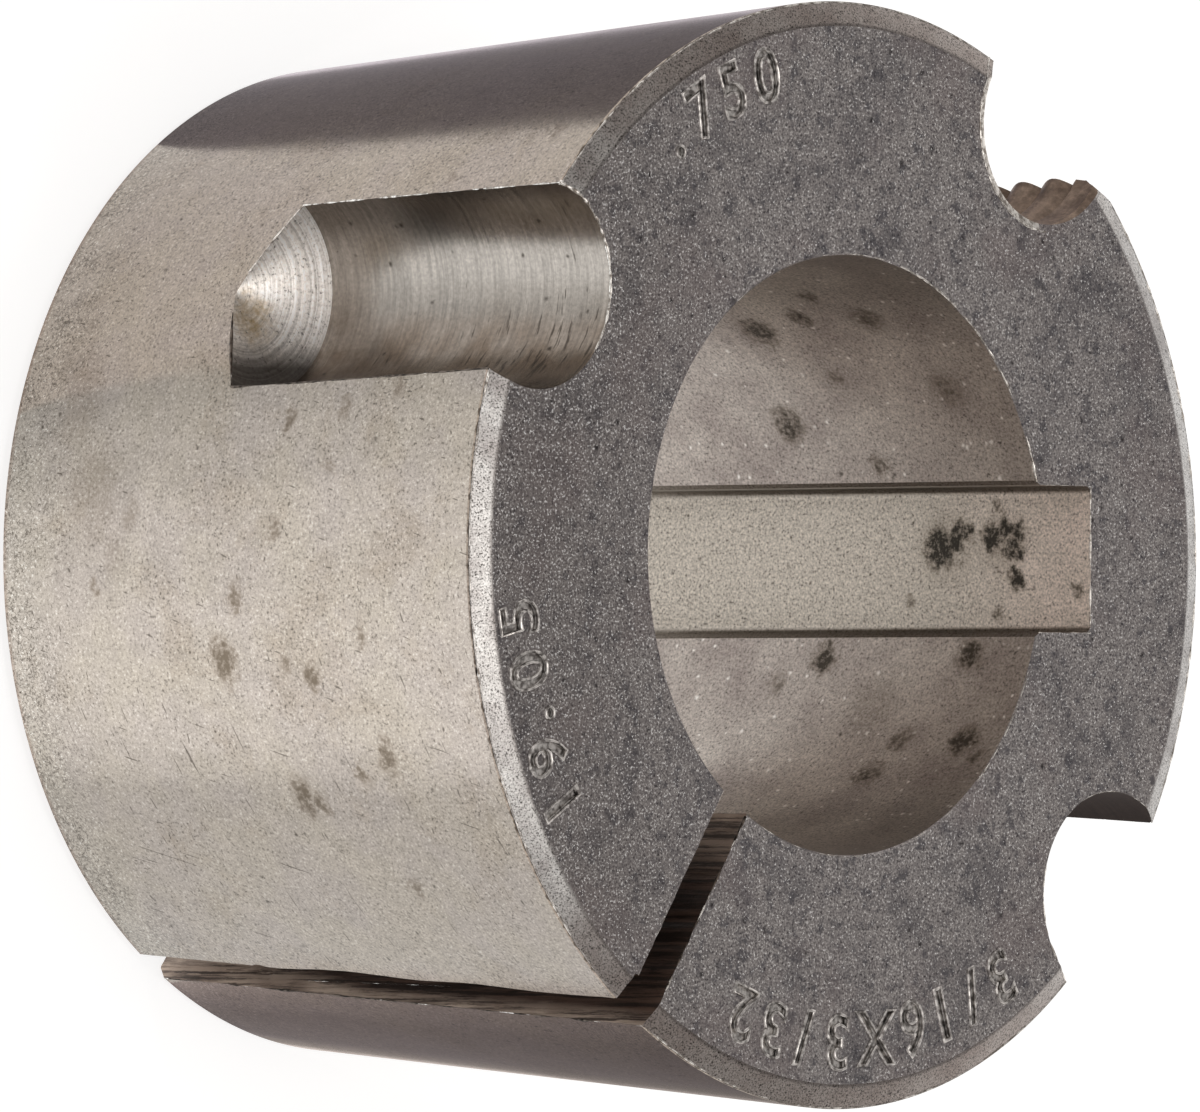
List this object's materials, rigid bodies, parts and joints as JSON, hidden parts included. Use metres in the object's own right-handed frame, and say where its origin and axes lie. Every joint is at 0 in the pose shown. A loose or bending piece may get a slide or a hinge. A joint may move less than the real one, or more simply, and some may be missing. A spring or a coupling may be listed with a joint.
{
  "type": "taper bush",
  "caption": "Split conical clamping bush with a keyed shaft bore and half-round screw holes sunk into its tapered side.",
  "frame": {"origin": "on the bore axis, in the plane of the small end face, which it stands on", "axes": "+Z along the bore axis towards the large end face, +X through the middle of the keyway"},
  "size_m": [0.0352, 0.0352, 0.0222],
  "materials": {
    "bush_steel": "as-cast end faces, ground taper, bored and broached inside"
  },
  "bodies": {
    "root": {"taper_bush": "bush_steel"}
  },
  "joints": []
}
